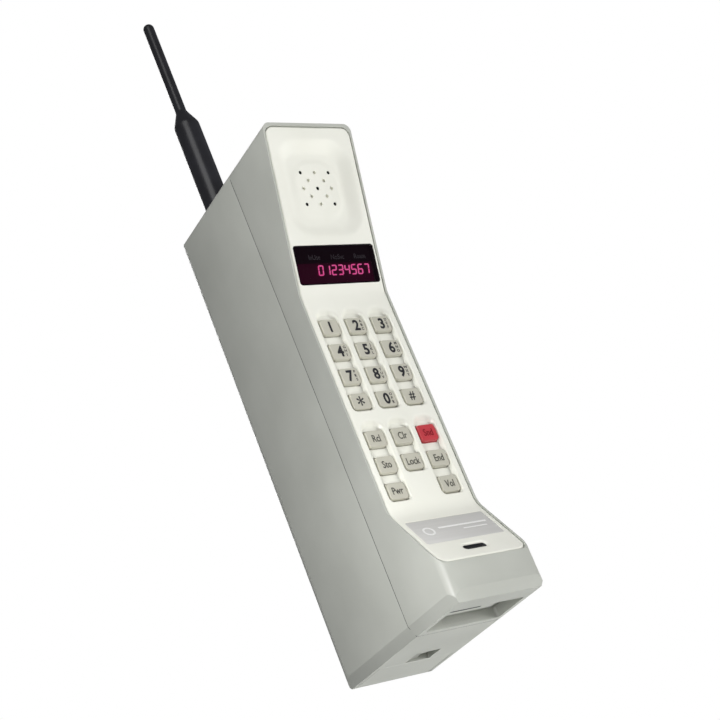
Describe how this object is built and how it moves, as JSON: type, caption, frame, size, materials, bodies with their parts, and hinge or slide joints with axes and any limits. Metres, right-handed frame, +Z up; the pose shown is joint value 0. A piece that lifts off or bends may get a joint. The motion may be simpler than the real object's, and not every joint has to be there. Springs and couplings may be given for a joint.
{
  "type": "mobile phone",
  "caption": "Upright early mobile brick phone with a screw-in rod antenna, a lit number display, sprung keys and a lift-off battery pack.",
  "frame": {"origin": "centre of the bounding box at the flat base that the phone stands on", "axes": "+Z up the phone towards the antenna tip, +X across the phone to the right of someone facing its keypad, -Y out of the keypad face"},
  "size_m": [0.0444, 0.0888, 0.3302],
  "materials": {
    "shell": "fine moulded satin grey",
    "latch": "moulded satin grey",
    "face": "smooth satin off-white",
    "lens": "polished dark red-black acrylic",
    "nameplate": "brushed pale grey",
    "key": "satin beige-grey",
    "send_key": "satin red",
    "black_rubber": "matt black",
    "antenna_rubber": "satin near-black",
    "circuit_board": "green solder mask",
    "chip": "moulded black",
    "foam": "matt foam",
    "led": "clear red",
    "cable": "satin",
    "steel": "zinc plated",
    "tinned_steel": "bright tin plate",
    "aluminium": "machined",
    "cast_aluminium": "cast",
    "filter_ceramic": "fired ceramic",
    "brass": "turned",
    "contact": "gold plated",
    "cell_wrap": "shrink sleeve"
  },
  "bodies": {
    "phone": {"front_housing": "shell", "rear_housing": "shell", "face_plate": "face", "display_lens": "lens", "nameplate": "nameplate", "keypad_mat": "black_rubber", "keypad_board": "circuit_board", "board_screws": "steel", "speaker_gasket": "foam", "earpiece_speaker": "steel", "display_board": "circuit_board", "led_display": "led", "mic_boot": "black_rubber", "microphone": "aluminium", "logic_board": "circuit_board", "logic_chips": "chip", "flat_cable": "cable", "chassis": "cast_aluminium", "radio_board": "circuit_board", "radio_shield": "tinned_steel", "power_amplifier": "aluminium", "duplexer": "filter_ceramic", "antenna_lead": "cable", "ringer": "chip", "accessory_connector": "chip", "connector_pins": "contact", "battery_terminals": "contact", "latch_keeper": "steel", "housing_screws": "steel", "antenna_socket": "brass", "antenna_nut": "steel"},
    "button_1": {"key_1": "key"},
    "button_2": {"key_2": "key"},
    "button_3": {"key_3": "key"},
    "button_4": {"key_4": "key"},
    "button_5": {"key_5": "key"},
    "button_6": {"key_6": "key"},
    "button_7": {"key_7": "key"},
    "button_8": {"key_8": "key"},
    "button_9": {"key_9": "key"},
    "button_star": {"key_star": "key"},
    "button_0": {"key_0": "key"},
    "button_hash": {"key_hash": "key"},
    "button_recall": {"key_recall": "key"},
    "button_clear": {"key_clear": "key"},
    "button_send": {"key_send": "send_key"},
    "button_store": {"key_store": "key"},
    "button_lock": {"key_lock": "key"},
    "button_end": {"key_end": "key"},
    "button_power": {"key_power": "key"},
    "button_volume": {"key_volume": "key"},
    "antenna_ring": {"antenna_seal": "black_rubber"},
    "antenna": {"antenna_stud": "brass", "antenna_sleeve": "antenna_rubber"},
    "battery": {"battery_case": "shell", "battery_cover": "shell", "battery_cells": "cell_wrap", "battery_links": "tinned_steel", "battery_contacts": "contact"},
    "latch": {"battery_latch": "latch"}
  },
  "joints": [
    {"name": "press_1", "type": "slide", "parent": "phone", "child": "button_1", "axis": [0, 1, 0], "range_m": [0, 0.001], "stiffness_N_per_m": 400, "springref_m": -0.001},
    {"name": "press_2", "type": "slide", "parent": "phone", "child": "button_2", "axis": [0, 1, 0], "range_m": [0, 0.001], "stiffness_N_per_m": 400, "springref_m": -0.001},
    {"name": "press_3", "type": "slide", "parent": "phone", "child": "button_3", "axis": [0, 1, 0], "range_m": [0, 0.001], "stiffness_N_per_m": 400, "springref_m": -0.001},
    {"name": "press_4", "type": "slide", "parent": "phone", "child": "button_4", "axis": [0, 1, 0], "range_m": [0, 0.001], "stiffness_N_per_m": 400, "springref_m": -0.001},
    {"name": "press_5", "type": "slide", "parent": "phone", "child": "button_5", "axis": [0, 1, 0], "range_m": [0, 0.001], "stiffness_N_per_m": 400, "springref_m": -0.001},
    {"name": "press_6", "type": "slide", "parent": "phone", "child": "button_6", "axis": [0, 1, 0], "range_m": [0, 0.001], "stiffness_N_per_m": 400, "springref_m": -0.001},
    {"name": "press_7", "type": "slide", "parent": "phone", "child": "button_7", "axis": [0, 1, 0], "range_m": [0, 0.001], "stiffness_N_per_m": 400, "springref_m": -0.001},
    {"name": "press_8", "type": "slide", "parent": "phone", "child": "button_8", "axis": [0, 1, 0], "range_m": [0, 0.001], "stiffness_N_per_m": 400, "springref_m": -0.001},
    {"name": "press_9", "type": "slide", "parent": "phone", "child": "button_9", "axis": [0, 1, 0], "range_m": [0, 0.001], "stiffness_N_per_m": 400, "springref_m": -0.001},
    {"name": "press_star", "type": "slide", "parent": "phone", "child": "button_star", "axis": [0, 1, 0], "range_m": [0, 0.001], "stiffness_N_per_m": 400, "springref_m": -0.001},
    {"name": "press_0", "type": "slide", "parent": "phone", "child": "button_0", "axis": [0, 1, 0], "range_m": [0, 0.001], "stiffness_N_per_m": 400, "springref_m": -0.001},
    {"name": "press_hash", "type": "slide", "parent": "phone", "child": "button_hash", "axis": [0, 1, 0], "range_m": [0, 0.001], "stiffness_N_per_m": 400, "springref_m": -0.001},
    {"name": "press_recall", "type": "slide", "parent": "phone", "child": "button_recall", "axis": [0, 1, 0], "range_m": [0, 0.001], "stiffness_N_per_m": 400, "springref_m": -0.001},
    {"name": "press_clear", "type": "slide", "parent": "phone", "child": "button_clear", "axis": [0, 1, 0], "range_m": [0, 0.001], "stiffness_N_per_m": 400, "springref_m": -0.001},
    {"name": "press_send", "type": "slide", "parent": "phone", "child": "button_send", "axis": [0, 1, 0], "range_m": [0, 0.001], "stiffness_N_per_m": 400, "springref_m": -0.001},
    {"name": "press_store", "type": "slide", "parent": "phone", "child": "button_store", "axis": [0, 1, 0], "range_m": [0, 0.001], "stiffness_N_per_m": 400, "springref_m": -0.001},
    {"name": "press_lock", "type": "slide", "parent": "phone", "child": "button_lock", "axis": [0, 1, 0], "range_m": [0, 0.001], "stiffness_N_per_m": 400, "springref_m": -0.001},
    {"name": "press_end", "type": "slide", "parent": "phone", "child": "button_end", "axis": [0, 1, 0], "range_m": [0, 0.001], "stiffness_N_per_m": 400, "springref_m": -0.001},
    {"name": "press_power", "type": "slide", "parent": "phone", "child": "button_power", "axis": [0, 1, 0], "range_m": [0, 0.001], "stiffness_N_per_m": 400, "springref_m": -0.001},
    {"name": "press_volume", "type": "slide", "parent": "phone", "child": "button_volume", "axis": [0, 1, 0], "range_m": [0, 0.001], "stiffness_N_per_m": 400, "springref_m": -0.001},
    {"name": "antenna_lift", "type": "slide", "parent": "phone", "child": "antenna_ring", "axis": [0, 0, 1], "range_m": [0, 0.00625]},
    {"name": "antenna_unscrew", "type": "hinge", "parent": "antenna_ring", "child": "antenna", "pos_m": [-0.0073, 0.02545, 0.215], "axis": [0, 0, 1], "range_deg": [0, 1800]},
    {"name": "battery_off", "type": "slide", "parent": "phone", "child": "battery", "axis": [0, 1, 0], "range_m": [0, 0.035]},
    {"name": "latch_slide", "type": "slide", "parent": "phone", "child": "latch", "axis": [1, 0, 0], "range_m": [0, 0.003]}
  ],
  "couplings": [
    {"joint": "antenna_lift", "follows": "antenna_unscrew", "m_per_rad": 0.00019894}
  ]
}
